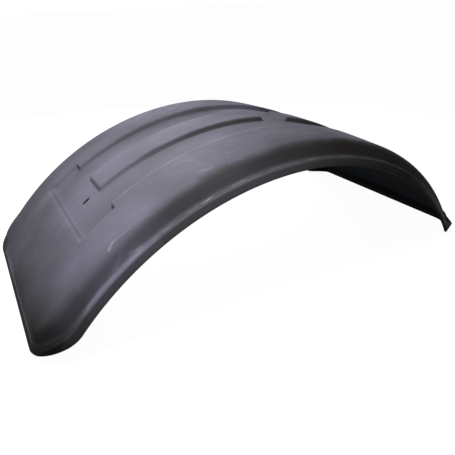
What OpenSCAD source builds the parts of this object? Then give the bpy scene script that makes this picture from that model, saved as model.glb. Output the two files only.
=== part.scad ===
// Arched mudguard for a large road wheel, moulded in one piece.
// The sheet is drawn flat first: u runs along the arch, v runs across it and w stands up
// from the middle line of the crown. bent() then curves that sheet round the wheel axis.
// A grid with a sunk panel makes the crown, and rings lofted round the grid make the
// shoulder, skirt, ledge and lip. The part stands on its four corners, with X along the
// arch, Y across it and Z up.

/* [Arch] */
// Outer radius of the crown along its middle line
crown_r = 650; // [580:5:760]
// Angle between the two end edges
arch_angle = 116.5; // [106:0.5:124]
// Width over the two side lips
overall_w = 536; // [500:2:600]
// Thickness of the moulded wall
wall_t = 5; // [3:0.5:6]
// Fall of the crown from its middle line to the shoulders
crown_fall = 7; // [2:0.5:12]

/* [Sides] */
// Radius of the shoulder between crown and skirt
shoulder_r = 26; // [16:1:30]
// How far the skirt leans outwards over its height
skirt_lean = 19; // [10:1:24]
// Height of the skirt from shoulder corner to ledge
skirt_h = 28; // [24:0.5:36]
// Width of the ledge at the foot of the skirt
ledge_w = 12; // [9:0.5:15]
// Fall of the ledge towards the lip
ledge_fall = 1.5; // [0.5:0.5:3]
// Height of the turned-down lip
lip_h = 15.5; // [12:0.5:22]
// How far the lip leans outwards over its height
lip_lean = 6; // [3:0.5:9]

/* [Ends] */
// Height of the low skirt at each end
end_skirt_h = 6.5; // [4:0.5:14]
// How far the end skirt leans outwards over its height
end_skirt_lean = 16; // [10:1:20]
// Radius of the shoulder above the end skirt
end_shoulder_r = 40; // [20:1:50]
// Width of the ledge along each end
end_ledge_w = 19; // [14:0.5:22]
// Fall of the end ledge towards its edge
end_ledge_fall = 0.5; // [0:0.5:3]
// Height of the trimmed lip along each end
end_lip_h = 5; // [1:0.5:8]
// How far the end lip leans outwards over its height
end_lip_lean = 1; // [0.5:0.5:2]

/* [Corners] */
// Width of the corner zone beside each lip edge
corner_w = 90; // [80:1:96]
// Length over which the sides run into the rounded left end
round_corner = 110; // [90:1:126]
// Share of the rounded corner that its arc takes up
round_share = 0.75; // [0.5:0.05:0.95]
// Length over which the sides run into the tighter right end
tight_corner = 46; // [42:1:60]
// Share of the tighter corner that its arc takes up
tight_share = 0.7; // [0.3:0.05:0.8]

/* [Sunk panel] */
// Depth of the panel below the crown
panel_depth = 10; // [6:0.5:12]
// Width of the panel between its top edges
panel_w = 238; // [220:2:256]
// Width of the wider pad at each end of the panel
pad_w = 286; // [264:2:300]
// Distance from the middle to the step where each pad starts
pad_start = 360; // [330:2:370]
// Distance from the middle to the outer edge of each pad
pad_end = 457; // [430:1:462]
// Sideways run of the panel walls
wall_run = 5; // [4:0.5:8]
// Run of each of the two ramps that lift a pad back to the crown
crease_run = 8; // [6:0.5:12]
// Flat strip between the two ramps
crease_gap = 2; // [1:0.5:6]

/* [Middle rib] */
// Height of the rib above the panel floor
rib_h = 10; // [6:0.5:12]
// Width of the rib at its foot
rib_w = 82; // [60:2:110]
// Run of the sloped rib ends
rib_end_run = 12; // [6:1:16]
// Start of the long rib, at its foot
rib_a_start = -365; // [-372:1:-320]
// End of the long rib, at its foot
rib_a_end = 70; // [50:1:90]
// Start of the short rib, at its foot
rib_b_start = 129; // [110:1:150]
// End of the short rib, at its foot
rib_b_end = 365; // [320:1:372]

/* [Fixing slots] */
// Distance of each slot from the middle, along the arch
slot_pos = 398; // [384:1:410]
// Distance of each slot from the centre line, across the arch
slot_side = 26; // [0:1:60]
// Length of each slot, end to end
slot_len = 20; // [16:1:32]
// Width of each slot
slot_w = 9; // [7:0.5:11]

/* [Hidden] */

// Steps of each rounded corner in a section, outside and inside
outer_steps = 3;
inner_steps = 2;
// Steps round each corner in plan
corner_steps = 6;
// Longest steps of the crown grid, and the distance at which two lines count as one
u_step = 46;
v_step = 40;
same_place = 0.4;
// Facets of the slot ends, and how far the slot cutter passes the wall
slot_fn = 48;
cut_over = 4;

degree_per_mm = 180 / (PI * crown_r);
half_len = arch_angle / 2 / degree_per_mm;
half_w = overall_w / 2;

// Corners of the crown grid, round which the rings turn
left_u = half_len - round_corner;
right_u = half_len - tight_corner;
corner_v = half_w - corner_w;

side_root_v = half_w - lip_lean - ledge_w;
shoulder_v = side_root_v - skirt_lean;
end_root_u = half_len - end_ledge_w;
end_shoulder_u = end_root_u - end_skirt_lean;

function clamp01(x) = min(1, max(0, x));
function smooth(x) = let (t = clamp01(x)) t * t * (3 - 2 * t);
function mix(a, b, t) = a + (b - a) * t;
function unit(p) = p / norm(p);

// Fall of the crown at a distance v from the middle line
function camber(v) = crown_fall * pow(v / shoulder_v, 2);

// Bends a point of the flat sheet round the wheel axis
function bent(p) = [
    (crown_r + p[2]) * sin(p[0] * degree_per_mm),
    p[1],
    (crown_r + p[2]) * cos(p[0] * degree_per_mm)
];

// 1 inside an edge, 0 outside it, with a sloped wall of the given run just inside the edge
function inside(x, edge, run) = clamp01((edge - x) / run);

// Share of the panel depth at a distance a along the arch: the pads rise in two equal ramps
function crease(a) =
    let (inner = pad_end - 2 * crease_run - crease_gap)
    1 - 0.5 * clamp01((a - inner) / crease_run)
      - 0.5 * clamp01((a - inner - crease_run - crease_gap) / crease_run);

function panel_share(u, v) =
    let (pad = inside(abs(v), pad_w / 2, wall_run) * inside(-abs(u), -pad_start, wall_run))
    crease(abs(u)) * max(inside(abs(v), panel_w / 2, wall_run), pad);

function rib_span(u, first, last) =
    min(clamp01((u - first) / rib_end_run), clamp01((last - u) / rib_end_run));

function rib_share(u, v) =
    inside(abs(v), rib_w / 2, wall_run)
    * max(rib_span(u, rib_a_start, rib_a_end), rib_span(u, rib_b_start, rib_b_end));

function crown_h(u, v) = rib_h * rib_share(u, v) - panel_depth * panel_share(u, v) - camber(v);

// Stations: every wall has a line of points at its head and its foot
function sorted(list) = len(list) < 2 ? list :
    let (pivot = list[floor(len(list) / 2)])
    concat(
        sorted([for (x = list) if (x < pivot) x]),
        [pivot],
        sorted([for (x = list) if (x > pivot) x])
    );

function spread(list, step) = concat(
    [for (i = [0 : len(list) - 2])
        let (gap = list[i + 1] - list[i], parts = max(1, ceil(gap / step)))
        if (gap > same_place)
            for (k = [0 : parts - 1]) list[i] + gap * k / parts],
    [list[len(list) - 1]]
);

function mirrored(list) = concat([for (x = list) -x], list);

pad_stations = [
    pad_start,
    pad_start + wall_run,
    pad_end - 2 * crease_run - crease_gap,
    pad_end - crease_run - crease_gap,
    pad_end - crease_run,
    pad_end
];
rib_stations = [for (edge = [
    [rib_a_start, 1],
    [rib_a_end, -1],
    [rib_b_start, 1],
    [rib_b_end, -1]
]) each [edge[0], edge[0] + edge[1] * rib_end_run]];
wall_stations = [for (w = [rib_w, panel_w, pad_w]) each [w / 2 - wall_run, w / 2]];

us = spread(sorted(concat(mirrored(pad_stations), rib_stations, [-left_u, 0, right_u])), u_step);
vs = spread(sorted(concat(mirrored(wall_stations), mirrored([corner_v]))), v_step);
nu = len(us);
nv = len(vs);

// Sections: corner points from the crown grid out to the lip edge, outer face
side_section = [
    [corner_v, -camber(corner_v)],
    [shoulder_v, -crown_fall],
    [side_root_v, -crown_fall - skirt_h],
    [side_root_v + ledge_w, -crown_fall - skirt_h - ledge_fall],
    [half_w, -crown_fall - skirt_h - ledge_fall - lip_h]
];
function end_section(first_u) = [
    [first_u, 0],
    [end_shoulder_u, 0],
    [end_root_u, -end_skirt_h],
    [half_len - end_lip_lean, -end_skirt_h - end_ledge_fall],
    [half_len, -end_skirt_h - end_ledge_fall - end_lip_h]
];
root_r = 8;
edge_r = 5;
end_edge_r = 2;
side_radii = [0, shoulder_r, root_r, edge_r, 0];
end_radii = [0, end_shoulder_r, root_r, end_edge_r, 0];

// Left-hand normal of the line from p to q, which points out of the sheet
function out_of(p, q) = let (d = unit(q - p)) [-d[1], d[0]];

// Section moved inwards by the wall thickness. Its first point drops straight down
function inner_section(pts) = [for (i = [0 : len(pts) - 1])
    i == 0 ? pts[0] - [0, wall_t] :
    i == len(pts) - 1 ? pts[i] - wall_t * out_of(pts[i - 1], pts[i]) :
    let (a = out_of(pts[i - 1], pts[i]), b = out_of(pts[i], pts[i + 1]))
    pts[i] - wall_t * (a + b) / (1 + a * b)];

// Turn at a corner: negative where the section turns down
function turn(a, b, c) = let (p = unit(b - a), q = unit(c - b)) p[0] * q[1] - p[1] * q[0];

// Inner radii: smaller round an outside corner and larger round an inside one
function inner_radii(pts, radii) = [for (i = [0 : len(radii) - 1])
    i == 0 || i == len(radii) - 1 ? 0 :
    max(1, radii[i] + wall_t * sign(turn(pts[i - 1], pts[i], pts[i + 1])))];

// Replaces each inner corner of a section by an arc of the given number of steps
function corner_arc(a, b, c, r, steps) =
    let (
        p = unit(a - b),
        q = unit(c - b),
        half = acos(max(-1, min(1, p * q))) / 2,
        reach = min(r / tan(half), 0.48 * norm(a - b), 0.48 * norm(c - b)),
        fit_r = reach * tan(half),
        centre = b + unit(p + q) * fit_r / sin(half),
        first = b + p * reach - centre,
        last = b + q * reach - centre,
        sweep = acos(max(-1, min(1, unit(first) * unit(last))))
    )
    [for (k = [0 : steps])
        centre + (first * sin(sweep * (1 - k / steps)) + last * sin(sweep * k / steps)) / sin(sweep)];

function rounded(pts, radii, steps) = concat(
    [pts[0]],
    [for (i = [1 : len(pts) - 2])
        each corner_arc(pts[i - 1], pts[i], pts[i + 1], radii[i], steps)],
    [pts[len(pts) - 1]]
);

// One skin of a section: the outer face, or the inner face at the wall thickness
function face_of(section, radii, steps, inner) = inner
    ? rounded(inner_section(section), inner_radii(section, radii), steps)
    : rounded(section, radii, steps);

// A loft holds the side section and both end sections, all with as many points as each other
function loft(steps, inner) = [
    face_of(side_section, side_radii, steps, inner),
    face_of(end_section(left_u), end_radii, steps, inner),
    face_of(end_section(right_u), end_radii, steps, inner)
];

// Height along an end: the camber fades out between the crown grid and the end ledge
function end_h(p, v, first_u) =
    p[1] - camber(v) * (1 - smooth((p[0] - first_u) / (end_root_u - first_u)));

// Quarter turn from side to end inside a unit square, as [x, y, turn]. The arc takes the
// given share of the square, and its turn runs from 0 to 1. A straight run leads into the
// arc and another one leads out of it
function quarter(share) = concat(
    [[(1 - share) / 2, 1, -0.5]],
    [for (k = [0 : corner_steps])
        let (t = k / corner_steps)
        [1 - share + share * sin(90 * t), 1 - share + share * cos(90 * t), t]],
    [[1, (1 - share) / 2, 1.5]]
);

left_quarter = quarter(round_share);
right_quarter = quarter(tight_share);

// First and last turn of the lip's rise from the side to the end. A late rise leaves an ear
round_rise = [-0.1, 0.8];
tight_rise = [0.1, 1];

// One corner of a ring. Shoulder, skirt and ledge rise with the run along the side, and the
// lip rises with the turn
function ring_corner(s, e, first_u, quarter_points, rise) = [for (q = quarter_points)
    let (share = smooth(rise == undef ? q[0] : (q[2] - rise[0]) / (rise[1] - rise[0])))
    [
        mix(first_u, e[0], q[0]),
        mix(corner_v, s[0], q[1]),
        mix(s[1], end_h(e, corner_v, first_u), share)
    ]];

function backwards(list) = [for (k = [len(list) - 1 : -1 : 0]) list[k]];
function placed(pts, su, sv) = [for (p = pts) [su * p[0], sv * p[1], p[2]]];

// One ring of a loft, clockwise from the left end of the far side
function ring(shape, i) =
    let (
        s = shape[0][i],
        left = shape[1][i],
        right = shape[2][i],
        is_lip = i == len(shape[0]) - 1,
        left_bow = ring_corner(s, left, left_u, left_quarter, is_lip ? round_rise : undef),
        right_bow = ring_corner(s, right, right_u, right_quarter, is_lip ? tight_rise : undef)
    )
    concat(
        [for (u = us) [u, s[0], s[1]]],
        placed(right_bow, 1, 1),
        [for (v = backwards(vs)) [right[0], v, end_h(right, v, right_u)]],
        placed(backwards(right_bow), 1, -1),
        [for (u = backwards(us)) [u, -s[0], s[1]]],
        placed(left_bow, -1, -1),
        [for (v = vs) [-left[0], v, end_h(left, v, left_u)]],
        placed(backwards(left_bow), -1, 1)
    );

function grid(drop) = [for (u = us) each [for (v = vs) [u, v, crown_h(u, v) - drop]]];

// Grid points that border the first ring, in the ring's own order
function grid_rim() =
    let (at = function(i, k) i * nv + k)
    concat(
        [for (i = [0 : nu - 1]) at(i, nv - 1)],
        [for (q = right_quarter) at(nu - 1, nv - 1)],
        [for (k = [nv - 1 : -1 : 0]) at(nu - 1, k)],
        [for (q = right_quarter) at(nu - 1, 0)],
        [for (i = [nu - 1 : -1 : 0]) at(i, 0)],
        [for (q = left_quarter) at(0, 0)],
        [for (k = [0 : nv - 1]) at(0, k)],
        [for (q = left_quarter) at(0, nv - 1)]
    );

function grid_faces() = [for (i = [0 : nu - 2], k = [0 : nv - 2])
    let (a = i * nv + k, b = a + nv)
    each [[a, a + 1, b + 1], [a, b + 1, b]]];

// Faces between two closed loops of point numbers. Where a loop stays on one point they fan out
function strip(near, far) = [for (i = [0 : len(near) - 1])
    let (j = (i + 1) % len(near))
    each near[i] == near[j]
        ? [[near[i], far[i], far[j]]]
        : [[near[i], far[i], far[j]], [near[i], far[j], near[j]]]];

// One skin of the sheet, as points and faces: the grid, then rings 1 to last
function skin(shape, drop) =
    let (
        last = len(shape[0]) - 1,
        rings = [for (i = [1 : last]) ring(shape, i)],
        m = len(rings[0]),
        loops = concat(
            [grid_rim()],
            [for (i = [0 : last - 1]) [for (k = [0 : m - 1]) nu * nv + i * m + k]]
        )
    )
    [
        concat(grid(drop), [for (r = rings) each r]),
        concat(grid_faces(), [for (i = [0 : last - 1]) each strip(loops[i], loops[i + 1])]),
        loops[last]
    ];

function flipped(faces) = [for (f = faces) [f[0], f[2], f[1]]];
function shifted(faces, by) = [for (f = faces) [for (k = f) k + by]];

outer_skin = skin(loft(outer_steps, false), 0);
inner_skin = skin(loft(inner_steps, true), wall_t);
outer_count = len(outer_skin[0]);
inner_edge = [for (k = inner_skin[2]) k + outer_count];

sheet_points = [for (p = concat(outer_skin[0], inner_skin[0])) bent(p)];
sheet_faces = concat(
    outer_skin[1],
    flipped(shifted(inner_skin[1], outer_count)),
    strip(outer_skin[2], inner_edge)
);
floor_z = min([for (p = sheet_points) p[2]]);

module sheet() {
    translate([0, 0, -floor_z])
        polyhedron(points = sheet_points, faces = sheet_faces, convexity = 6);
}

// Upright slot outline, long along X
module slot_outline() {
    reach = (slot_len - slot_w) / 2;
    square([2 * reach, slot_w], center = true);
    for (end = [-1, 1])
        translate([end * reach, 0])
            circle(d = slot_w, $fn = slot_fn);
}

// Cutter for one slot, square to the pad floor
module slot_cutter(along) {
    floor_h = panel_depth + camber(slot_side);
    translate([0, 0, -floor_z])
        rotate([0, along * degree_per_mm, 0])
            translate([0, -slot_side, crown_r - floor_h - wall_t - cut_over])
                linear_extrude(height = wall_t + 2 * cut_over)
                    slot_outline();
}

module mudguard() {
    color([0.2, 0.2, 0.22])
        difference() {
            sheet();
            for (end = [-1, 1])
                slot_cutter(end * slot_pos);
        }
}

mudguard();
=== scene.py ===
import bpy
import math
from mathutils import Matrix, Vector


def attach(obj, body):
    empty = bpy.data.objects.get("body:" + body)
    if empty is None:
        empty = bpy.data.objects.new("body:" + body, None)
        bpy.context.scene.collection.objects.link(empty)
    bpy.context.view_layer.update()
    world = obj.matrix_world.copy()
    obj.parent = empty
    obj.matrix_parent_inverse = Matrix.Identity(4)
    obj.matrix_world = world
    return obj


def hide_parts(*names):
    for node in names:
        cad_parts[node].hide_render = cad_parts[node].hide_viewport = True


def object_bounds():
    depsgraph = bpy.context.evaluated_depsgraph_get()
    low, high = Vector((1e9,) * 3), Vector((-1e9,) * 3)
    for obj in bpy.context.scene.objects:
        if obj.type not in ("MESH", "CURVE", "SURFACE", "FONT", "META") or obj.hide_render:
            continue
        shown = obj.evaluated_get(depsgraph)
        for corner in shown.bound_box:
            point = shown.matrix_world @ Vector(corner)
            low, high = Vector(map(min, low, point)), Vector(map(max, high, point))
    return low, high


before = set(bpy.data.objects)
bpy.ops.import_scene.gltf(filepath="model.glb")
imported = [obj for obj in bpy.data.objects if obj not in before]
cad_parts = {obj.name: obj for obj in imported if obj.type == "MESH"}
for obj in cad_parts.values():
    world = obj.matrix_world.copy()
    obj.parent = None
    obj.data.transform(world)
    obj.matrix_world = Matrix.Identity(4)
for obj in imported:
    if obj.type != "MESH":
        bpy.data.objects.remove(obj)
cadLow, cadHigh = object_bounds()
print("frame loaded")

mm = 0.001      # in metres

# one dictionary for the sheet, in mm and degrees, with the same values as the solid
sheetShape = {
    "crownRadius": 650.0,       # outer radius on the middle line
    "standHeight": 330.824,     # from the wheel axis up to the plane that the corners stand on
    "archAngle": 116.5,
    "width": 536.0,             # over the side lips
    "wall": 5.0,
    "crownFall": 7.0,
    "shoulderRadius": 26.0,
    "skirtLean": 19.0,
    "skirtHeight": 28.0,
    "ledgeWidth": 12.0,
    "ledgeFall": 1.5,
    "lipHeight": 15.5,
    "lipLean": 6.0,
    "endSkirtHeight": 6.5,
    "endSkirtLean": 16.0,
    "endShoulderRadius": 40.0,
    "endLedgeWidth": 19.0,
    "endLedgeFall": 0.5,
    "endLipHeight": 5.0,
    "endLipLean": 1.0,
    "cornerWidth": 90.0,
    "roundCorner": 110.0,       # left end
    "roundShare": 0.75,
    "roundRise": (-0.1, 0.8),
    "tightCorner": 46.0,        # right end, where the lip hangs down in an ear
    "tightShare": 0.7,
    "tightRise": (0.1, 1.0),
    "panelDepth": 10.0,
    "panelWidth": 238.0,
    "padWidth": 286.0,
    "padStart": 360.0,
    "padEnd": 457.0,
    "wallRun": 5.0,
    "creaseRun": 8.0,
    "creaseGap": 2.0,
    "ribHeight": 10.0,
    "ribWidth": 82.0,
    "ribEndRun": 12.0,
    "ribs": ((-365.0, 70.0), (129.0, 365.0)),
    "slotPlace": 398.0,
    "slotSide": 26.0,
    "slotLength": 20.0,
    "slotWidth": 9.0,
    "rootRadius": 8.0,
    "edgeRadius": 5.0,
    "endEdgeRadius": 2.0,
    # the rest is for this mesh alone
    "softEdge": 4.0,            # extra run that rounds the head and foot of each panel wall
    "coarseStep": 13.0,
    "fineStep": 1.6,
    "leastStep": 0.5,
    "leastParts": 3,            # over a wall
    "leastRadius": 1.0,         # of a bend on the inside
    "arcSteps": 7,
    "bowSteps": 14,
    "leadSteps": 3,             # on the straight runs before and after a corner
    "bendShare": 0.48,          # of a straight run that one bend may take
    "slotMargin": 10.0,
    "slotColumns": 5,
    "slotRows": 3,
    "cellSlack": 0.1,           # keeps the middle of a cell clear of the edge of a slot's block
    "rimRound": 1.2,
    "rimSegments": 3,
}
g = sheetShape

halfLen = math.radians(g["archAngle"] / 2) * g["crownRadius"]
halfWidth = g["width"] / 2
leftU = halfLen - g["roundCorner"]
rightU = halfLen - g["tightCorner"]
cornerV = halfWidth - g["cornerWidth"]
sideRootV = halfWidth - g["lipLean"] - g["ledgeWidth"]
shoulderV = sideRootV - g["skirtLean"]
endRootU = halfLen - g["endLedgeWidth"]
endShoulderU = endRootU - g["endSkirtLean"]


def smooth(x):
    t = min(1.0, max(0.0, x))
    return t * t * (3 - 2 * t)


def mix(a, b, t):
    return a + (b - a) * t


def camber(v):
    return g["crownFall"] * (v / shoulderV) ** 2


# a moulded wall: 1 well inside the edge, 0 outside it, rounded at head and foot
def inside(x, edge, run):
    soft = g["softEdge"]
    return smooth((edge + soft / 2 - x) / (run + soft))


# 1 in the sunk panel and 0 outside it. Each crease takes back half of the depth
def panelShare(u, v):
    inner = g["padEnd"] - 2 * g["creaseRun"] - g["creaseGap"]
    a = abs(u)
    firstCrease = smooth((a - inner) / g["creaseRun"])
    secondCrease = smooth((a - inner - g["creaseRun"] - g["creaseGap"]) / g["creaseRun"])
    narrow = inside(abs(v), g["panelWidth"] / 2, g["wallRun"])
    pad = inside(abs(v), g["padWidth"] / 2, g["wallRun"]) * inside(-a, -g["padStart"], g["wallRun"])
    return (1 - (firstCrease + secondCrease) / 2) * (1 - (1 - narrow) * (1 - pad))


def ribShare(u, v):
    run = g["ribEndRun"]
    along = max(min(smooth((u - a) / run), smooth((b - u) / run)) for a, b in g["ribs"])
    return inside(abs(v), g["ribWidth"] / 2, g["wallRun"]) * along


def crownHeight(u, v):
    return g["ribHeight"] * ribShare(u, v) - g["panelDepth"] * panelShare(u, v) - camber(v)


# lines of points: fine over each wall, coarse between
def stations(low, high, walls, extra):
    marks = [low, high] + list(extra)
    for a, b in walls:
        parts = max(g["leastParts"], math.ceil((b - a) / g["fineStep"]))
        marks += [a + (b - a) * k / parts for k in range(parts + 1)]
    marks = sorted(m for m in marks if low <= m <= high)
    line = [marks[0]]
    for m in marks[1:]:
        gap = m - line[-1]
        if gap < g["leastStep"]:
            continue
        parts = max(1, math.ceil(gap / g["coarseStep"]))
        start = line[-1]
        line += [start + gap * k / parts for k in range(1, parts + 1)]
    line[-1] = high
    return line


def alongStations():
    soft = g["softEdge"] / 2
    walls = []
    for side in (-1, 1):
        edges = [
            (g["padStart"] - soft, g["padStart"] + g["wallRun"] + soft),
            (g["padEnd"] - 2 * g["creaseRun"] - g["creaseGap"], g["padEnd"]),
        ]
        walls += [tuple(sorted((side * a, side * b))) for a, b in edges]
    for a, b in g["ribs"]:
        walls += [(a, a + g["ribEndRun"]), (b - g["ribEndRun"], b)]
    reach, parts = slotReach() + g["slotMargin"], g["slotColumns"]
    extra = []
    for side in (-1, 1):
        extra += [side * g["slotPlace"] + reach * k / parts for k in range(-parts, parts + 1)]
    return stations(-leftU, rightU, walls, extra)


def acrossStations():
    soft = g["softEdge"] / 2
    walls = []
    for width in (g["ribWidth"], g["panelWidth"], g["padWidth"]):
        for side in (-1, 1):
            edges = (side * (width / 2 - g["wallRun"] - soft), side * (width / 2 + soft))
            walls.append(tuple(sorted(edges)))
    parts = g["slotRows"]
    extra = [-g["slotSide"] + g["slotMargin"] * k / parts for k in range(-parts, parts + 1)]
    return stations(-cornerV, cornerV, walls, extra)


def slotReach():
    return (g["slotLength"] - g["slotWidth"]) / 2


# sections run from the crown out to the lip edge, as [outwards, up]
def sideSection():
    drop = -g["crownFall"]
    ledge = drop - g["skirtHeight"]
    return [
        Vector((cornerV, -camber(cornerV))),
        Vector((shoulderV, drop)),
        Vector((sideRootV, ledge)),
        Vector((sideRootV + g["ledgeWidth"], ledge - g["ledgeFall"])),
        Vector((halfWidth, ledge - g["ledgeFall"] - g["lipHeight"])),
    ]


def endSection(firstU):
    ledge = -g["endSkirtHeight"]
    return [
        Vector((firstU, 0)),
        Vector((endShoulderU, 0)),
        Vector((endRootU, ledge)),
        Vector((halfLen - g["endLipLean"], ledge - g["endLedgeFall"])),
        Vector((halfLen, ledge - g["endLedgeFall"] - g["endLipHeight"])),
    ]


def outOf(p, q):
    d = (q - p).normalized()
    return Vector((-d.y, d.x))


def innerSection(pts):
    wall = g["wall"]
    result = [pts[0] - Vector((0, wall))]
    for i in range(1, len(pts) - 1):
        a, b = outOf(pts[i - 1], pts[i]), outOf(pts[i], pts[i + 1])
        result.append(pts[i] - (a + b) * (wall / (1 + a.dot(b))))
    result.append(pts[-1] - outOf(pts[-2], pts[-1]) * wall)
    return result


def innerRadii(pts, radii):
    result = [0]
    for i in range(1, len(radii) - 1):
        p, q = (pts[i] - pts[i - 1]).normalized(), (pts[i + 1] - pts[i]).normalized()
        turn = p.x * q.y - p.y * q.x
        result.append(max(g["leastRadius"], radii[i] + math.copysign(g["wall"], turn)))
    return result + [0]


straightParts = (4, 2, 2, 3)    # points on the straight runs of a section


def rounded(pts, radii):
    steps = g["arcSteps"]
    line = [pts[0]]
    for i in range(1, len(pts) - 1):
        a, b, c = pts[i - 1], pts[i], pts[i + 1]
        p, q = (a - b).normalized(), (c - b).normalized()
        half = math.acos(max(-1, min(1, p.dot(q)))) / 2
        longest = g["bendShare"] * min((a - b).length, (c - b).length)
        reach = min(radii[i] / math.tan(half), longest)
        arcRadius = reach * math.tan(half)
        centre = b + (p + q).normalized() * (arcRadius / math.sin(half))
        first, last = b + p * reach - centre, b + q * reach - centre
        sweep = first.angle(last)
        start = centre + first
        before = line[-1]
        parts = straightParts[i - 1]
        line += [before.lerp(start, k / parts) for k in range(1, parts)]
        for k in range(steps + 1):
            t = k / steps
            spread = first * math.sin(sweep * (1 - t)) + last * math.sin(sweep * t)
            line.append(centre + spread / math.sin(sweep))
    before, parts = line[-1], straightParts[-1]
    line += [before.lerp(pts[-1], k / parts) for k in range(1, parts + 1)]
    return line


def sections(inner):
    sideRadii = [0, g["shoulderRadius"], g["rootRadius"], g["edgeRadius"], 0]
    endRadii = [0, g["endShoulderRadius"], g["rootRadius"], g["endEdgeRadius"], 0]
    lines = [(sideSection(), sideRadii), (endSection(leftU), endRadii), (endSection(rightU), endRadii)]
    made = []
    for pts, radii in lines:
        if inner:
            made.append(rounded(innerSection(pts), innerRadii(pts, radii)))
        else:
            made.append(rounded(pts, radii))
    return made


def endHeight(p, v, firstU):
    return p.y - camber(v) * (1 - smooth((p.x - firstU) / (endRootU - firstU)))


# a quarter turn from side to end in a unit square: straight, arc, straight
def quarter(share):
    leads, steps = g["leadSteps"], g["bowSteps"]
    pts = [((1 - share) * k / leads, 1.0, k / leads - 1) for k in range(1, leads)]
    for k in range(steps + 1):
        a = math.pi / 2 * k / steps
        pts.append((1 - share + share * math.sin(a), 1 - share + share * math.cos(a), k / steps))
    pts += [(1.0, (1 - share) * (1 - k / leads), 1 + k / leads) for k in range(1, leads)]
    return pts


def bow(s, e, firstU, turnPoints, rise, lipShare):
    pts = []
    for x, y, turn in turnPoints:
        early = smooth(x)
        late = smooth((turn - rise[0]) / (rise[1] - rise[0]))
        up = mix(s.y, endHeight(e, cornerV, firstU), mix(early, late, lipShare))
        pts.append((mix(firstU, e.x, x), mix(cornerV, s.x, y), up))
    return pts


def placed(pts, su, sv):
    return [(su * p[0], sv * p[1], p[2]) for p in pts]


leftTurn, rightTurn = quarter(g["roundShare"]), quarter(g["tightShare"])
us, vs = alongStations(), acrossStations()


def ring(shape, i, lipShare):
    s, left, right = shape[0][i], shape[1][i], shape[2][i]
    leftBow = bow(s, left, leftU, leftTurn, g["roundRise"], lipShare)
    rightBow = bow(s, right, rightU, rightTurn, g["tightRise"], lipShare)
    loop = [(u, s.x, s.y) for u in us]
    loop += placed(rightBow, 1, 1)
    loop += [(right.x, v, endHeight(right, v, rightU)) for v in reversed(vs)]
    loop += placed(rightBow[::-1], 1, -1)
    loop += [(u, -s.x, s.y) for u in reversed(us)]
    loop += placed(leftBow, -1, -1)
    loop += [(-left.x, v, endHeight(left, v, leftU)) for v in vs]
    loop += placed(leftBow[::-1], -1, 1)
    return loop


def bent(p):
    angle = p[0] / g["crownRadius"]
    radius = g["crownRadius"] + p[2]
    return Vector((radius * math.sin(angle), p[1], radius * math.cos(angle)))


# crown cells, and the plain block of cells round each slot that gets its own mesh
def slotBlock(u, v):
    half = g["slotMargin"] - g["cellSlack"]
    for side in (-1, 1):
        if abs(u - side * g["slotPlace"]) < slotReach() + half and abs(v + g["slotSide"]) < half:
            return side
    return 0


def crownFaces():
    nv = len(vs)
    faces, blocks = [], {-1: {}, 1: {}}
    for i in range(len(us) - 1):
        for k in range(nv - 1):
            a, b = i * nv + k, (i + 1) * nv + k
            side = slotBlock((us[i] + us[i + 1]) / 2, (vs[k] + vs[k + 1]) / 2)
            if side:
                for p, q in ((a, a + 1), (a + 1, b + 1), (b + 1, b), (b, a)):
                    blocks[side][(p, q)] = True
            else:
                faces.append((a, a + 1, b + 1, b))
    return faces, blocks


# border of a block, walked in order: the edges whose twin isn't in the block
def borderLoop(edges):
    step = {p: q for p, q in edges if (q, p) not in edges}
    first = min(step)
    loop, at = [first], step[first]
    while at != first:
        loop.append(at)
        at = step[at]
    return loop


def rimOfCrown():
    nu, nv = len(us), len(vs)
    loop = [i * nv + nv - 1 for i in range(nu)]
    loop += [(nu - 1) * nv + nv - 1] * len(rightTurn)
    loop += [(nu - 1) * nv + k for k in reversed(range(nv))]
    loop += [(nu - 1) * nv] * len(rightTurn)
    loop += [i * nv for i in reversed(range(nu))]
    loop += [0] * len(leftTurn)
    loop += list(range(nv))
    loop += [nv - 1] * len(leftTurn)
    return loop


def strip(near, far):
    faces = []
    for i in range(len(near)):
        j = (i + 1) % len(near)
        if near[i] == near[j]:
            faces.append((near[i], far[i], far[j]))
        else:
            faces.append((near[i], far[i], far[j], near[j]))
    return faces


# rings of points round a slot: share of the way in to its edge, and how deep they sink in mm
slotRings = ((0.5, 0), (0.88, 0), (0.97, 0), (1.0, 0.35))


# adds the rings of one slot to the lists, from the border of its block to its edge, and returns
# the edge
def addSlot(pts, faces, folds, side, border, inner):
    centreU, centreV = side * g["slotPlace"], -g["slotSide"]
    outline = []
    for n in border:
        du, dv = pts[n][0] - centreU, pts[n][1] - centreV
        core = max(-slotReach(), min(slotReach(), du))
        away = math.hypot(du - core, dv)
        outline.append((centreU + core, centreV, (du - core) / away, dv / away, away))
    near = border
    for share, sink in slotRings:
        new = []
        for cu, cv, du, dv, away in outline:
            reach = mix(away, g["slotWidth"] / 2, share)
            u, v = cu + du * reach, cv + dv * reach
            new.append((u, v, crownHeight(u, v) - (g["wall"] - sink if inner else sink)))
        numbers = list(range(len(pts), len(pts) + len(new)))
        pts += new
        folds += [0.0] * len(new)
        faces += strip(numbers, near)
        near = numbers
    return near


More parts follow.
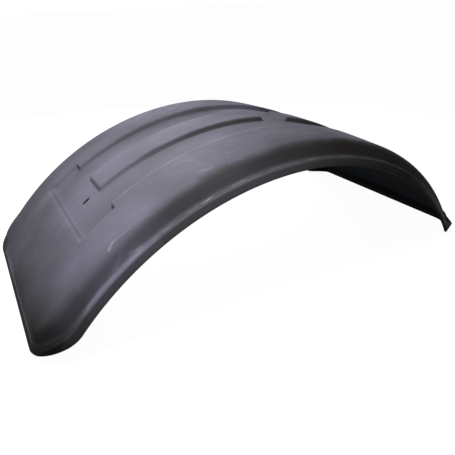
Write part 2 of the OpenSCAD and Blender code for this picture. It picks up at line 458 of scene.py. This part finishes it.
# one skin as flat points, faces, its outer loop, the two slot loops, and for each point how many
# steps down the section it lies: 0 on the crown, 4 to 11 shoulder, 13 to 20 foot of the skirt,
# 20 to 22 ledge, 22 to 29 edge, 32 rim
def skin(inner):
    drop = g["wall"] if inner else 0
    shape = sections(inner)
    pts = [(u, v, crownHeight(u, v) - drop) for u in us for v in vs]
    folds = [0.0] * len(pts)
    faces, blocks = crownFaces()
    last = len(shape[0]) - 1
    loop = rimOfCrown()
    lipStart = last - straightParts[-1]
    for i in range(1, last + 1):
        lipShare = max(0.0, (i - lipStart) / (last - lipStart))
        new = ring(shape, i, lipShare)
        numbers = list(range(len(pts), len(pts) + len(new)))
        pts += new
        folds += [float(i)] * len(new)
        faces += strip(loop, numbers)
        loop = numbers
    slots = {}
    for side, edges in blocks.items():
        slots[side] = addSlot(pts, faces, folds, side, borderLoop(edges), inner)
    return pts, faces, loop, slots, folds


# where the near shoulder has sunk or bulges a little, in mm: place along the arch and towards the
# near side, reach both ways, depth
sags = [
    (-168.0, 226.0, 62.0, 16.0, 2.6),
    (-300.0, 232.0, 60.0, 12.0, -0.9),
    (-60.0, 228.0, 50.0, 14.0, -0.8),
    (-392.0, 228.0, 36.0, 12.0, 1.3),
]
sagWay = (0.6, -0.8)            # across and up, for a depth of 1


def sagged(p):
    depth = 0.0
    for u, v, reachU, reachV, deep in sags:
        depth += deep * math.exp(-((p[0] - u) / reachU) ** 2 - ((p[1] + v) / reachV) ** 2)
    return (p[0], p[1] + sagWay[0] * depth, p[2] + sagWay[1] * depth)


# the finer curve bulges a few hundredths of a millimetre past the solid's flat facets
def insideBox(pts):
    for axis in range(3):
        low, high = min(p[axis] for p in pts), max(p[axis] for p in pts)
        middle = (cadLow[axis] + cadHigh[axis]) / 2
        over = max((middle - low) / (middle - cadLow[axis]), (high - middle) / (cadHigh[axis] - middle))
        if over > 1:
            for p in pts:
                p[axis] = middle + (p[axis] - middle) / over
    return pts


# what the materials read: place on the flat sheet in metres, and steps down the section
def markPoints(mesh, pts, folds):
    place = mesh.attributes.new("sheetPlace", "FLOAT_VECTOR", "POINT")
    for n, p in enumerate(pts):
        place.data[n].vector = (p[0] * mm, p[1] * mm, p[2] * mm)
    fold = mesh.attributes.new("foldStep", "FLOAT", "POINT")
    fold.data.foreach_set("value", folds)


def markRims(mesh, rims):
    weights = mesh.attributes.new("bevel_weight_edge", "FLOAT", "EDGE")
    for n, edge in enumerate(mesh.edges):
        weights.data[n].value = float(any(set(edge.vertices) <= rim for rim in rims))


# both skins, joined along the rim and through the slots, then bent
def buildSheet():
    outerPts, outerFaces, outerLoop, outerSlots, outerFolds = skin(False)
    innerPts, innerFaces, innerLoop, innerSlots, innerFolds = skin(True)
    count = len(outerPts)
    pts = outerPts + innerPts
    innerLoop = [n + count for n in innerLoop]
    faces = outerFaces + [tuple(n + count for n in reversed(f)) for f in innerFaces]
    faces += strip(outerLoop, innerLoop)
    for side in (-1, 1):
        faces += strip([n + count for n in innerSlots[side]], outerSlots[side])
    mesh = bpy.data.meshes.new("moulded_sheet")
    lift = Vector((0, 0, -g["standHeight"]))
    curved = insideBox([(bent(sagged(p)) + lift) * mm for p in pts])
    mesh.from_pydata(curved, [], faces)
    markPoints(mesh, pts, outerFolds + innerFolds)
    innerFrom, innerTo = len(outerFaces), len(outerFaces) + len(innerFaces)
    for polygon in mesh.polygons:
        polygon.use_smooth = True
        polygon.material_index = 1 if innerFrom <= polygon.index < innerTo else 0
    mesh.validate()
    mesh.update()
    markRims(mesh, [set(outerLoop), set(innerLoop)])
    sheet = bpy.data.objects.new("moulded_sheet", mesh)
    bpy.context.scene.collection.objects.link(sheet)
    return sheet


# only the two loops of the trimmed rim are rounded, so the slots keep their crisp edge
def roundRim(sheet):
    edge = sheet.modifiers.new("trimmedRim", "BEVEL")
    edge.width = g["rimRound"] * mm
    edge.segments = g["rimSegments"]
    edge.limit_method = "WEIGHT"


# an sRGB hex text as a linear colour
def linear(hexText):
    rgb = [int(hexText[i:i + 2], 16) / 255 for i in (1, 3, 5)]
    return [c / 12.92 if c <= 0.04045 else ((c + 0.055) / 1.055) ** 2.4 for c in rgb] + [1.0]


def addNode(tree, kind, settings=None, sockets=None):
    node = tree.nodes.new(kind)
    for name, value in (settings or {}).items():
        setattr(node, name, value)
    for name, value in (sockets or {}).items():
        if isinstance(value, bpy.types.NodeSocket):
            tree.links.new(value, node.inputs[name])
        else:
            node.inputs[name].default_value = value
    return node


def newMaterial(name):
    material = bpy.data.materials.new(name)
    material.use_nodes = True
    tree = material.node_tree
    tree.nodes.clear()
    return material, tree


# place on the flat sheet in metres: along the arch, across it and up from the crown
def sheetPlace(tree):
    return addNode(tree, "ShaderNodeAttribute", {"attribute_name": "sheetPlace"}).outputs["Vector"]


# noise whose grains have the given lengths in mm along, across and up
def grainNoise(tree, place, lengths, detail, roughness, shift):
    scaled = addNode(tree, "ShaderNodeMapping", {}, {
        "Vector": place,
        "Location": (shift, shift, shift),
        "Scale": [1.0 / (length * mm) for length in lengths],
    })
    return addNode(tree, "ShaderNodeTexNoise", {}, {
        "Vector": scaled.outputs[0],
        "Scale": 1.0,
        "Detail": detail,
        "Roughness": roughness,
    }).outputs["Fac"]


def ranged(tree, value, fromLow, fromHigh, toLow=0.0, toHigh=1.0, kind="SMOOTHSTEP"):
    return addNode(tree, "ShaderNodeMapRange", {"interpolation_type": kind}, {
        "Value": value, "From Min": fromLow, "From Max": fromHigh, "To Min": toLow, "To Max": toHigh,
    }).outputs["Result"]


def combine(tree, operation, a, b):
    return addNode(tree, "ShaderNodeMath", {"operation": operation}, {0: a, 1: b}).outputs[0]


# inputs 6 and 7 of a mix node are its two colours, and output 2 is the mixed one
def tinted(tree, share, under, over):
    return addNode(tree, "ShaderNodeMix", {"data_type": "RGBA"}, {
        "Factor": share, 6: under, 7: over}).outputs[2]


# soft mark round the line from a to b, in mm on the flat sheet
def rubMark(tree, place, a, b, reach, strength):
    start, end = Vector(a) * mm, Vector(b) * mm
    length = (end - start).length
    way = (end - start) / length
    away = addNode(tree, "ShaderNodeVectorMath", {"operation": "SUBTRACT"}, {0: place, 1: start})
    along = addNode(tree, "ShaderNodeVectorMath", {"operation": "DOT_PRODUCT"}, {0: away.outputs[0], 1: way})
    held = ranged(tree, along.outputs["Value"], 0.0, length, 0.0, length, "LINEAR")
    onLine = addNode(tree, "ShaderNodeVectorMath", {"operation": "SCALE"}, {0: way, "Scale": held})
    gap = addNode(tree, "ShaderNodeVectorMath", {"operation": "DISTANCE"}, {
        0: away.outputs[0], 1: onLine.outputs[0]})
    return ranged(tree, gap.outputs["Value"], reach * mm, 0.0, 0.0, strength)


# product of ramps. Each one names what is measured, where the mark is still nothing and where it
# is whole
def rampMask(tree, measure, strength, ramps):
    mask = strength
    for name, nothing, whole in ramps:
        mask = combine(tree, "MULTIPLY", mask, ranged(tree, measure[name], nothing, whole))
    return mask


plasticIor = 1.51


def plasticShader(tree, finish, colour, rough, bump):
    shader = addNode(tree, "ShaderNodeBsdfPrincipled", {}, {
        "Base Color": colour,
        "Roughness": rough,
        "IOR": plasticIor,
        "Specular IOR Level": finish["specular"],
        "Normal": bump,
    })
    addNode(tree, "ShaderNodeOutputMaterial", {}, {"Surface": shader.outputs["BSDF"]})


# polyethylene, moulded: satin charcoal with a cool cast, soft mottling and scuffs. Painted onto it are pale
# highlights along edges, ledges and lips, wide patches of painted light and painted shade, and painted shade
# low on the skirts, at the corners and at the feet of the walls
outerFinish = {
    "base": "#66656F",
    "deep": "#5A5962",
    "pale": "#74737E",
    # pale tone of the scuffs, and of the painted highlights along edges, ledges and the left end
    "scuffAndHighlightTone": "#A8A6B4",
    # lavender tone of the patches of painted light and sheen
    "paintedLight": "#838296",
    # lighter tone painted on the lips: painted light
    "lip": "#7C7B7A",
    # near-black tone of painted shade, in patches, at the feet of the walls and on the right rim
    "paintedShade": "#29251A",
    # dark tone of the painted shade low on the skirts
    "bandShade": "#3A3732",
    # darkest tone of painted shade, at the near-left corner and along the left end's edge
    "darkShade": "#262429",
    "roughness": 0.6,
    "swing": 0.05,              # how far the roughness strays
    "paleRoughness": 0.15,      # what a full scuff and edge highlight adds
    "shadeRoughness": 0.34,      # what full painted shade adds
    "specular": 0.04,
    # strength of the pale lines along the raised edges: painted highlight with some rubbing
    "edgeHighlight": 0.62,
    "heights": {"wave": 1.6, "peel": 0.16, "grain": 0.05},      # mm
}
# noise on the outside: lengths in mm along, across and up, detail, roughness, shift
outerNoise = {
    "mottle": ((160.0, 90.0, 90.0), 3.0, 0.55, 0.0),    # cooling patches
    "streak": ((260.0, 16.0, 16.0), 2.0, 0.5, 3.7),     # flow lines of the plastic
    "peel": ((26.0, 22.0, 22.0), 2.0, 0.5, 9.1),        # gentle unevenness of the sheet
    "wave": ((150.0, 70.0, 70.0), 1.0, 0.4, 5.3),       # slow warp that shows along the shoulders
    "grain": ((3.0, 3.0, 3.0), 1.0, 0.6, 1.9),          # drawn coarse, as 0.4 mm would not show
    "cloud": ((45.0, 32.0, 32.0), 3.0, 0.6, 6.1),       # patchy edges of the wide patches
    "shadeEdge": ((75.0, 60.0, 60.0), 2.0, 0.5, 8.3),    # how the top of the painted shade on the skirts wanders
    "ledgeBreakup": ((38.0, 7.0, 7.0), 3.0, 0.65, 4.9),        # breaks up the pale line along the ledges, which is rubbing and painted highlight
    "broken": ((9.0, 4.0, 4.0), 3.0, 0.6, 7.7),         # gaps in the scuffs
    "uneven": ((60.0, 30.0, 30.0), 2.0, 0.5, 2.2),      # how strong the pale edge lines are
}
# the stretch of each noise that is used, and what it gives
noiseRange = {
    "mottle": (0.32, 0.68, 0.0, 1.0),
    "streak": (0.45, 0.8, 0.0, 0.03),
    "peel": (0.3, 0.7, -1.0, 1.0),
    "grain": (0.3, 0.75, 0.0, 0.3),
    "cloud": (0.25, 0.7, 0.72, 1.0),
    "shadeEdge": (0.3, 0.7, -1.2, 1.2),                  # steps down the section
    "broken": (0.38, 0.62, 0.0, 1.0),
    "uneven": (0.35, 0.65, 0.35, 1.0),
}
# rubs and scuffs: start, end, reach in mm, strength
rubs = [
    ((-418, -227, -9), (-403, -220, -6.6), 4.5, 0.75),
    ((-404, -220, -6.8), (-365, -223, -7.5), 3.0, 0.34),
    ((-365, -223, -7.5), (-320, -228, -9.5), 3.0, 0.12),
    ((-440, -247, -30.5), (-412, -244.5, -27), 3.4, 0.3),
    ((-432, -250, -34), (-404, -240, -19), 3.0, 0.24),
    ((-395, -247, -31), (-372, -250, -34.5), 5.0, 0.42),
    ((-492, -253, -35.3), (-480, -252.5, -35.3), 4.0, 0.55),
    ((-520, -253.5, -35.4), (-446, -253.5, -35.4), 4.5, 0.3),
    ((-226, -257, -36), (-212, -254.6, -35.7), 4.0, 0.32),
    ((-203, -141, -3), (-187, -163, -3.8), 3.0, 0.12),
    ((-187, -163, -3.8), (-181, -189, -4.9), 2.8, 0.09),
    ((-197, -208, -6.2), (-175, -213, -6.2), 6.0, 0.2),
    ((-129, -190, -5), (-101, -197, -5.5), 4.6, 0.17),
    ((-144, -222, -7.5), (-120, -225, -8), 4.6, 0.16),
    ((44, -198, -5.4), (88, -183, -4.6), 3.6, 0.2),
    ((-330, -150, -4), (-250, -147, -3.8), 2.2, 0.14),
    ((150, 170, -4.5), (215, 182, -5), 3.0, 0.3),
    ((-90, 205, -6), (-40, 211, -6.5), 3.2, 0.32),
    ((330, -228, -9.5), (372, -224, -8), 3.0, 0.36),
    ((468, 120, -2.5), (500, 96, -1.5), 3.0, 0.3),
]
# wide soft patches, listed the same way. The first list is painted light, mostly towards the left end; the
# second is painted shade at the ends, the corners, along the shoulders and on a crease
paintedLightPatches = [
    ((-470, -185, -5), (-350, -215, -6.5), 90.0, 0.45),
    ((-530, -170, -4), (-500, -170, -4), 60.0, 0.35),
    ((-500, -256, -36), (-380, -256, -36), 24.0, 0.45),
    ((-420, -30, -8), (-330, 30, -8), 130.0, 0.25),
    ((-430, -110, -6), (-430, 60, -6), 80.0, 0.12),
    ((-500, -234, -14), (-410, -232, -12), 22.0, 0.3),
    ((-520, -266, -44), (-350, -266, -44), 26.0, 0.8),
    ((60, 70, -6), (150, 125, -6), 80.0, 0.6),
    ((-470, 125, -4), (-400, 135, -4), 50.0, 0.3),
    ((180, -232, -9), (380, -236, -12), 34.0, 0.7),
    ((430, -250, -30), (500, -250, -30), 30.0, 0.5),
    ((-633, -130, -4), (-633, 262, -4), 13.0, 0.45),
]
# patches of painted shade
paintedShadePatches = [
    ((-665, -262, -10), (-665, -20, -5), 120.0, 0.7),
    ((-640, -262, -20), (-630, -200, -5), 110.0, 0.6),
    ((-570, -257, -36), (-625, -238, -26), 26.0, 0.4),
    ((-640, -215, -10), (-600, -250, -30), 30.0, 0.3),
    ((-205, -226, -9), (-130, -228, -9), 18.0, 0.3),
    ((200, -262, -36), (340, -262, -36), 24.0, 0.2),
    ((110, -235, -11), (175, -235, -11), 30.0, 0.5),
    ((-20, -214, -6), (120, -210, -6), 55.0, 0.26),
    ((-190, 95, -6), (-30, 100, -6), 110.0, 0.22),
    ((-447, -119, -5), (-447, 119, -5), 14.0, 0.2),
]
# bands of painted shade: tone, strength and ramps. A ramp names what is measured, where the shade is still
# nothing and where it is whole. Top and fold are in steps down the section, the others in mm
shadeBands = {
    "skirts": ("bandShade", 0.62, [("top", 5.0, 10.0), ("fold", 25.0, 21.5), ("along", -480.0, -170.0)]),
    "leftCorners": ("darkShade", 0.6, [
        ("top", 2.5, 7.0), ("fold", 26.0, 22.0), ("along", -540.0, -610.0), ("side", 140.0, 200.0)]),
    "rightSkirts": ("bandShade", 0.6, [("top", 3.5, 11.0), ("along", -90.0, 150.0), ("along", 520.0, 330.0)]),
    "rightRim": ("paintedShade", 0.6, [("fold", 30.5, 31.6), ("along", 40.0, 150.0)]),
    "leftEdge": ("darkShade", 0.72, [("fold", 20.5, 21.6), ("along", -580.0, -635.0)]),
    "longRibFoot": ("paintedShade", 0.7, [
        ("side", 33.0, 38.0), ("side", 46.0, 41.5), ("along", -360.0, -60.0), ("along", 76.0, 60.0)]),
    "shortRibFoot": ("paintedShade", 0.6, [
        ("side", 33.0, 38.0), ("side", 46.0, 41.5), ("along", 120.0, 136.0), ("along", 366.0, 350.0)]),
    "panelFoot": ("paintedShade", 0.3, [
        ("side", 111.0, 115.0), ("side", 123.0, 119.0), ("along", -400.0, -250.0), ("along", 366.0, 350.0)]),
}
# pale marks that follow the section, listed the same way: painted highlight on the left end's skirt, rubbing
# and painted highlight along the ledges, and painted light on the lips
paleMarks = {
    "endSkirts": ("scuffAndHighlightTone", 0.3, [
        ("fold", 18.6, 19.8), ("fold", 20.9, 20.2), ("reach", 580.0, 620.0), ("side", 225.0, 170.0)]),
    "ledges": ("scuffAndHighlightTone", 0.3, [
        ("fold", 18.8, 20.6), ("fold", 23.4, 21.8), ("reach", 580.0, 500.0), ("ledgeBreakup", 0.42, 0.74)]),
    "lips": ("lip", 0.42, [("side", 260.5, 263.5), ("along", 350.0, 120.0)]),
}
# pale lines along the edges of the sunk panel, of its pads and of the ribs: painted highlight with some
# rubbing. In mm: how far across, start and end along the arch, width, and then strength
edgeHighlightBands = [
    (g["panelWidth"] / 2 + 0.5, -10.0, g["padStart"], 3.8, 1.0),
    (g["padWidth"] / 2 + 0.5, g["padStart"], g["padEnd"] - 2 * g["creaseRun"], 1.2, 1.0),
    (g["ribWidth"] / 2 - g["wallRun"], -10.0, 356.0, 2.0, 0.35),
]
bandFade = 4.0                          # mm along, half the run over which a pale edge line ends
nearHighlight = (0.0, -30.0, 0.15, 1.0)       # mm across, and the share of the painted edge highlight on the far and near half
gapRub = (0.0, 1.0, 0.45, 1.0)          # the share that stays in the gaps of a scuff


# what the marks are measured on. Along and across are in mm on the flat sheet, reach and side are
# the same without the sign, fold is in steps down the section and top is fold with a wander
def outerMeasures(tree, place):
    scaled = addNode(tree, "ShaderNodeVectorMath", {"operation": "SCALE"}, {0: place, "Scale": 1.0 / mm})
    split = addNode(tree, "ShaderNodeSeparateXYZ", {}, {0: scaled.outputs[0]})
    measure = {
        "along": split.outputs["X"],
        "across": split.outputs["Y"],
        "reach": combine(tree, "ABSOLUTE", split.outputs["X"], 0.0),
        "side": combine(tree, "ABSOLUTE", split.outputs["Y"], 0.0),
        "fold": addNode(tree, "ShaderNodeAttribute", {"attribute_name": "foldStep"}).outputs["Fac"],
    }
    for name, settings in outerNoise.items():
        measure[name] = grainNoise(tree, place, *settings)
    wander = ranged(tree, measure["shadeEdge"], *noiseRange["shadeEdge"], "LINEAR")
    measure["top"] = combine(tree, "ADD", measure["fold"], wander)
    return measure


# painted highlight with some rubbing along the panel, pad and rib edges, strongest on the near half
def highlightedEdges(tree, measure):
    edges = 0.0
    for across, start, end, width, strength in edgeHighlightBands:
        band = rampMask(tree, measure, strength, [
            ("side", across - width, across),
            ("side", across + width, across),
            ("reach", start - bandFade, start + bandFade),
            ("reach", end + bandFade, end - bandFade),
        ])
        edges = combine(tree, "MAXIMUM", edges, band)
    edges = combine(tree, "MULTIPLY", edges, ranged(tree, measure["uneven"], *noiseRange["uneven"]))
    edges = combine(tree, "MULTIPLY", edges, ranged(tree, measure["across"], *nearHighlight))
    return combine(tree, "MULTIPLY", edges, outerFinish["edgeHighlight"])


def scuffs(tree, measure, place):
    rub = 0.0
    for a, b, reach, strength in rubs:
        rub = combine(tree, "MAXIMUM", rub, rubMark(tree, place, a, b, reach, strength))
    broken = ranged(tree, measure["broken"], *noiseRange["broken"])
    return combine(tree, "MULTIPLY", rub, ranged(tree, broken, *gapRub))


def outerPlastic():
    f = outerFinish
    material, tree = newMaterial("moulded_polyethylene_outside")
    place = sheetPlace(tree)
    measure = outerMeasures(tree, place)

    def noiseShare(name, kind="SMOOTHSTEP"):
        return ranged(tree, measure[name], *noiseRange[name], kind)

    colour = tinted(tree, noiseShare("mottle"), linear(f["deep"]), linear(f["base"]))
    colour = tinted(tree, noiseShare("streak"), colour, linear(f["pale"]))
    colour = tinted(tree, noiseShare("grain"), colour, linear(f["deep"]))
    cloud = noiseShare("cloud")
    # dull gathers the painted shade, which also gets a rougher, duller surface
    dull = 0.0
    # patches of painted light, then of painted shade
    for tone, patches in (("paintedLight", paintedLightPatches), ("paintedShade", paintedShadePatches)):
        for a, b, reach, strength in patches:
            patch = combine(tree, "MULTIPLY", rubMark(tree, place, a, b, reach, strength), cloud)
            colour = tinted(tree, patch, colour, linear(f[tone]))
            if tone == "paintedShade":
                dull = combine(tree, "MAXIMUM", dull, patch)
    # bands of painted shade on the skirts, corners, rims and at the feet of the walls
    for tone, strength, ramps in shadeBands.values():
        bandShade = rampMask(tree, measure, strength, ramps)
        colour = tinted(tree, bandShade, colour, linear(f[tone]))
        dull = combine(tree, "MAXIMUM", dull, bandShade)
    # painted highlight and painted light along the section
    for tone, strength, ramps in paleMarks.values():
        colour = tinted(tree, rampMask(tree, measure, strength, ramps), colour, linear(f[tone]))
    # scuffs, and edge lines that are painted highlight with some rubbing
    wornAndHighlit = combine(tree, "MAXIMUM", scuffs(tree, measure, place), highlightedEdges(tree, measure))
    colour = tinted(tree, wornAndHighlit, colour, linear(f["scuffAndHighlightTone"]))

    rough = combine(tree, "MULTIPLY", noiseShare("peel", "LINEAR"), f["swing"])
    rough = combine(tree, "ADD", rough, f["roughness"])
    rough = combine(tree, "ADD", rough, combine(tree, "MULTIPLY", wornAndHighlit, f["paleRoughness"]))
    rough = combine(tree, "ADD", rough, combine(tree, "MULTIPLY", dull, f["shadeRoughness"]))

    bump = None
    for name, height in f["heights"].items():
        sockets = {"Strength": 1.0, "Distance": height * mm, "Height": measure[name]}
        if bump:
            sockets["Normal"] = bump
        bump = addNode(tree, "ShaderNodeBump", {}, sockets).outputs["Normal"]
    plasticShader(tree, f, colour, rough, bump)
    return material


# the same plastic on the side that didn't touch the mould: dull, with a coarser skin, and painted nearly
# black as shade for the underside
innerFinish = {
    "base": "#202327",
    "deep": "#181B1F",
    "roughness": 0.82,
    "swing": 0.06,
    "specular": 0.03,
    "skinHeight": 0.12,         # mm
}
innerNoise = {
    "cloud": ((120.0, 80.0, 80.0), 3.0, 0.55, 0.0),
    "skin": ((5.0, 4.0, 4.0), 2.0, 0.6, 4.4),           # the pebbled face of the cooled skin
}
innerRange = {
    "cloud": (0.32, 0.68),
    "skin": (0.3, 0.7),
}


def innerPlastic():
    f = innerFinish
    material, tree = newMaterial("moulded_polyethylene_inside")
    place = sheetPlace(tree)
    cloud = grainNoise(tree, place, *innerNoise["cloud"])
    skinNoise = grainNoise(tree, place, *innerNoise["skin"])
    share = ranged(tree, cloud, *innerRange["cloud"])
    colour = tinted(tree, share, linear(f["deep"]), linear(f["base"]))
    low, high = f["roughness"] - f["swing"], f["roughness"] + f["swing"]
    rough = ranged(tree, skinNoise, *innerRange["skin"], low, high, "LINEAR")
    bump = addNode(tree, "ShaderNodeBump", {}, {
        "Strength": 1.0, "Distance": f["skinHeight"] * mm, "Height": skinNoise})
    plasticShader(tree, f, colour, rough, bump.outputs["Normal"])
    return material


sheet = buildSheet()
roundRim(sheet)
sheet.data.materials.append(outerPlastic())
sheet.data.materials.append(innerPlastic())
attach(sheet, "root")
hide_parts("mudguard")
print("sheet built:", len(sheet.data.polygons), "faces")

# camera at the photograph's angle
cameraView = {
    "place": (-0.55273, -0.873153, 0.566237),   # m
    "turn": (62.9419, 1.9266, -25.8978),        # degrees
    "sensor": 36.0,                             # mm
    "lens": 34.836,                             # mm
    "shift": (0.1113, -0.0105),                 # share of the picture
}
cameraData = bpy.data.cameras.new("camera")
cameraData.sensor_width = cameraView["sensor"]
cameraData.lens = cameraView["lens"]
cameraData.shift_x, cameraData.shift_y = cameraView["shift"]
camera = bpy.data.objects.new("camera", cameraData)
camera.location = cameraView["place"]
camera.rotation_euler = [math.radians(a) for a in cameraView["turn"]]
bpy.context.scene.collection.objects.link(camera)
bpy.context.scene.camera = camera


# floor and light
def areaLight(name, place, aim, size, power, tint, spread):
    data = bpy.data.lights.new(name, "AREA")
    data.shape = "RECTANGLE"
    data.size, data.size_y = size
    data.energy = power
    data.color = linear(tint)[:3]
    data.spread = math.radians(spread)
    light = bpy.data.objects.new(name, data)
    light.location = place
    light.rotation_euler = (Vector(aim) - Vector(place)).to_track_quat("-Z", "Y").to_euler()
    bpy.context.scene.collection.objects.link(light)


def seenDirectly(tree):
    path = addNode(tree, "ShaderNodeLightPath")
    seen = combine(tree, "MAXIMUM", path.outputs["Is Camera Ray"], path.outputs["Is Glossy Ray"])
    return combine(tree, "MAXIMUM", seen, path.outputs["Is Transmission Ray"])


# the floor's colour and its white view together reach 1, and only its shadow stays below
stageLight = {
    "floorSize": 60.0,          # m
    "floorColour": 0.25,
    "floorWhite": 0.97,
    "ambient": (1.0, 0.97, 0.92, 1.0),
    "ambientStrength": 0.05,
}
# soft lamps: place, aim and size in m, power in W, tint, and spread of the light in degrees
lamps = {
    "key": ((-0.42, -0.1, 0.9), (-0.24, -0.05, 0.25), (0.45, 0.45), 2.9, "#FFFEFF", 98),
    "window": ((0.25, 1.3, 0.8), (0.0, 0.0, 0.2), (0.7, 0.6), 8.4, "#E4E4FF", 180),
}


def makeFloor():
    bpy.ops.mesh.primitive_plane_add(size=stageLight["floorSize"], location=(0, 0, 0))
    floor = bpy.context.object
    floor.name = "floor"
    material, tree = newMaterial("pale_paper_floor")
    shade = stageLight["floorColour"]
    paper = addNode(tree, "ShaderNodeBsdfDiffuse", {}, {"Color": (shade, shade, shade, 1)})
    glow = addNode(tree, "ShaderNodeEmission", {}, {
        "Color": (1, 1, 1, 1),
        "Strength": combine(tree, "MULTIPLY", seenDirectly(tree), stageLight["floorWhite"]),
    })
    both = addNode(tree, "ShaderNodeAddShader", {}, {0: paper.outputs[0], 1: glow.outputs[0]})
    addNode(tree, "ShaderNodeOutputMaterial", {}, {"Surface": both.outputs[0]})
    floor.data.materials.append(material)


def makeWorld():
    world = bpy.data.worlds.new("studio")
    bpy.context.scene.world = world
    world.use_nodes = True
    tree = world.node_tree
    tree.nodes.clear()
    soft = addNode(tree, "ShaderNodeBackground", {}, {
        "Color": stageLight["ambient"], "Strength": stageLight["ambientStrength"]})
    white = addNode(tree, "ShaderNodeBackground", {}, {"Color": (1, 1, 1, 1), "Strength": 1.0})
    both = addNode(tree, "ShaderNodeMixShader", {}, {
        0: seenDirectly(tree), 1: soft.outputs[0], 2: white.outputs[0]})
    addNode(tree, "ShaderNodeOutputWorld", {}, {"Surface": both.outputs[0]})


makeFloor()
makeWorld()
for name, settings in lamps.items():
    areaLight(name, *settings)
print("stage lit")

bpy.context.scene.view_settings.view_transform = "Standard"
